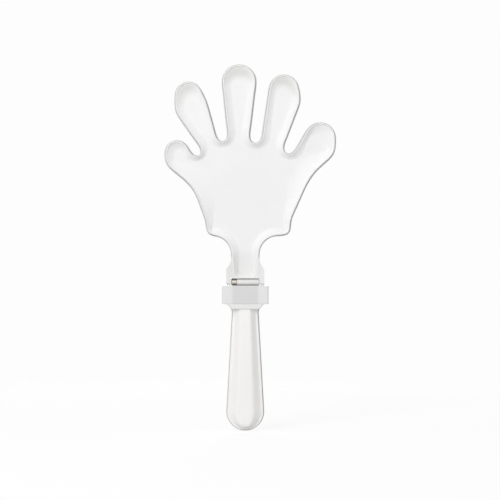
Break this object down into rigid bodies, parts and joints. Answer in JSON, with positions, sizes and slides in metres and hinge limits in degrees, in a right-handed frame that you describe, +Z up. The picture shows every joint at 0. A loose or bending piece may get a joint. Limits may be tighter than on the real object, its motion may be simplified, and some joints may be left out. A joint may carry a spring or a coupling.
{
  "type": "hand clapper",
  "caption": "Party noise maker: a grip handle carrying a fixed flat hand, with dished hands hinged in front and behind that swing and clap against it when the handle is shaken.",
  "frame": {"origin": "middle of the grip, on the parting plane of the two handle shells", "axes": "+Z up the handle towards the fingertips, +Y from the front hand to the rear hand, +X across the hand towards the thumb"},
  "size_m": [0.1313, 0.022, 0.2799],
  "materials": {
    "handle_plastic": "gloss",
    "collar_plastic": "gloss",
    "hand_plastic": "gloss",
    "pin_steel": "drawn wire"
  },
  "bodies": {
    "handle": {"handle_front_shell": "handle_plastic", "handle_rear_shell": "handle_plastic", "collar": "collar_plastic", "middle_hand": "hand_plastic"},
    "front_hand": {"front_hand": "hand_plastic", "front_hinge_pin": "pin_steel"},
    "rear_hand": {"rear_hand": "hand_plastic", "rear_hinge_pin": "pin_steel"}
  },
  "joints": [
    {"name": "front_hand_swing", "type": "hinge", "parent": "handle", "child": "front_hand", "pos_m": [0, -0.0056, 0.0673], "axis": [1, 0, 0], "range_deg": [0, 40]},
    {"name": "rear_hand_swing", "type": "hinge", "parent": "handle", "child": "rear_hand", "pos_m": [0, 0.0056, 0.0673], "axis": [-1, 0, 0], "range_deg": [0, 40]}
  ]
}
